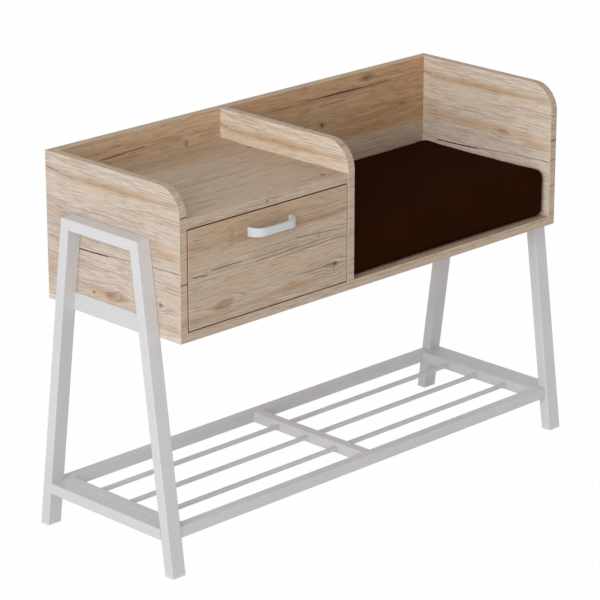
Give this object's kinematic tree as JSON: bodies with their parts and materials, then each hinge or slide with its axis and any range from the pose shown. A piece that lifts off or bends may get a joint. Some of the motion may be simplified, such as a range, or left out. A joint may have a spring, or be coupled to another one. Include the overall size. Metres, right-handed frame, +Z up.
{
  "type": "shoe bench with cabinet",
  "caption": "Hallway shoe bench: oak-decor cabinet with a drawer, tray top and cushioned seat bay, on white steel A-frames joined by a low rod shelf.",
  "frame": {"origin": "on the floor at the middle of the closed bench's bounding box", "axes": "+X along the bench from the drawer end to the seat end, +Y to the back, +Z up"},
  "size_m": [1.0048, 0.3634, 0.677],
  "materials": {
    "oak_decor": "pale rustic oak decor on laminated board, matt",
    "drawer_box_board": "plain off-white melamine board, matt",
    "drawer_base_sheet": "white-faced hardboard, matt",
    "dowel_wood": "plain beech",
    "white_painted_steel": "white powder coat, satin",
    "white_screw_heads": "white painted screw heads, satin",
    "pull_enamel": "white enamel, satin",
    "runner_steel": "white epoxy-coated rolled steel, satin",
    "zinc_screws": "zinc-plated steel",
    "white_plastic": "white acetal",
    "foot_plastic": "white polyethylene, matt",
    "cushion_leather": "very dark brown artificial leather, soft satin"
  },
  "bodies": {
    "bench": {"angle_screws": "zinc_screws", "back_panel": "oak_decor", "bottom_panel": "oak_decor", "cabinet_dowels": "dowel_wood", "cabinet_screws": "zinc_screws", "divider_panel": "oak_decor", "frame_screws": "white_screw_heads", "left_cross_bar": "white_painted_steel", "left_front_foot": "foot_plastic", "left_front_leg": "white_painted_steel", "left_rear_foot": "foot_plastic", "left_rear_leg": "white_painted_steel", "left_side_panel": "oak_decor", "left_support_angle": "white_painted_steel", "left_top_bar": "white_painted_steel", "left_track_runner": "runner_steel", "right_cross_bar": "white_painted_steel", "right_front_foot": "foot_plastic", "right_front_leg": "white_painted_steel", "right_rear_foot": "foot_plastic", "right_rear_leg": "white_painted_steel", "right_side_panel": "oak_decor", "right_support_angle": "white_painted_steel", "right_top_bar": "white_painted_steel", "right_track_runner": "runner_steel", "shelf_front_rail": "white_painted_steel", "shelf_left_end_bar": "white_painted_steel", "shelf_left_rod_1": "white_painted_steel", "shelf_left_rod_2": "white_painted_steel", "shelf_left_rod_3": "white_painted_steel", "shelf_middle_bar": "white_painted_steel", "shelf_rear_rail": "white_painted_steel", "shelf_right_end_bar": "white_painted_steel", "shelf_right_rod_1": "white_painted_steel", "shelf_right_rod_2": "white_painted_steel", "shelf_right_rod_3": "white_painted_steel", "shelf_screws": "white_screw_heads", "top_panel": "oak_decor", "track_rivets": "zinc_screws", "track_screws": "zinc_screws"},
    "drawer": {"drawer_front": "oak_decor", "drawer_inner_front": "drawer_box_board", "drawer_left_side": "drawer_box_board", "drawer_right_side": "drawer_box_board", "drawer_back": "drawer_box_board", "drawer_base": "drawer_base_sheet", "drawer_pull": "pull_enamel", "pull_screws": "zinc_screws", "drawer_front_screws": "zinc_screws", "drawer_corner_screws": "zinc_screws", "left_drawer_runner": "runner_steel", "right_drawer_runner": "runner_steel", "drawer_rivets": "zinc_screws", "drawer_runner_screws": "zinc_screws"},
    "cushion": {"seat_cushion": "cushion_leather"},
    "left_track_roller": {"left_track_roller": "white_plastic"},
    "right_track_roller": {"right_track_roller": "white_plastic"},
    "left_drawer_roller": {"left_drawer_roller": "white_plastic"},
    "right_drawer_roller": {"right_drawer_roller": "white_plastic"}
  },
  "joints": [
    {"name": "drawer_slide", "type": "slide", "parent": "bench", "child": "drawer", "axis": [0, -1, 0], "range_m": [0, 0.185]},
    {"name": "cushion_lift", "type": "slide", "parent": "bench", "child": "cushion", "axis": [0, 0, 1], "range_m": [0, 0.25]},
    {"name": "left_track_roller_spin", "type": "hinge", "parent": "bench", "child": "left_track_roller", "pos_m": [-0.4478, -0.12775, 0.4523], "axis": [1, 0, 0], "continuous": true},
    {"name": "left_drawer_roller_spin", "type": "hinge", "parent": "drawer", "child": "left_drawer_roller", "pos_m": [-0.4478, 0.09825, 0.4523], "axis": [1, 0, 0], "continuous": true},
    {"name": "right_track_roller_spin", "type": "hinge", "parent": "bench", "child": "right_track_roller", "pos_m": [-0.0842, -0.12775, 0.4523], "axis": [1, 0, 0], "continuous": true},
    {"name": "right_drawer_roller_spin", "type": "hinge", "parent": "drawer", "child": "right_drawer_roller", "pos_m": [-0.0842, 0.09825, 0.4523], "axis": [1, 0, 0], "continuous": true}
  ],
  "couplings": [
    {"joint": "left_track_roller_spin", "follows": "drawer_slide", "rad_per_m": 111.11},
    {"joint": "left_drawer_roller_spin", "follows": "drawer_slide", "rad_per_m": 111.11},
    {"joint": "right_track_roller_spin", "follows": "drawer_slide", "rad_per_m": 111.11},
    {"joint": "right_drawer_roller_spin", "follows": "drawer_slide", "rad_per_m": 111.11}
  ]
}
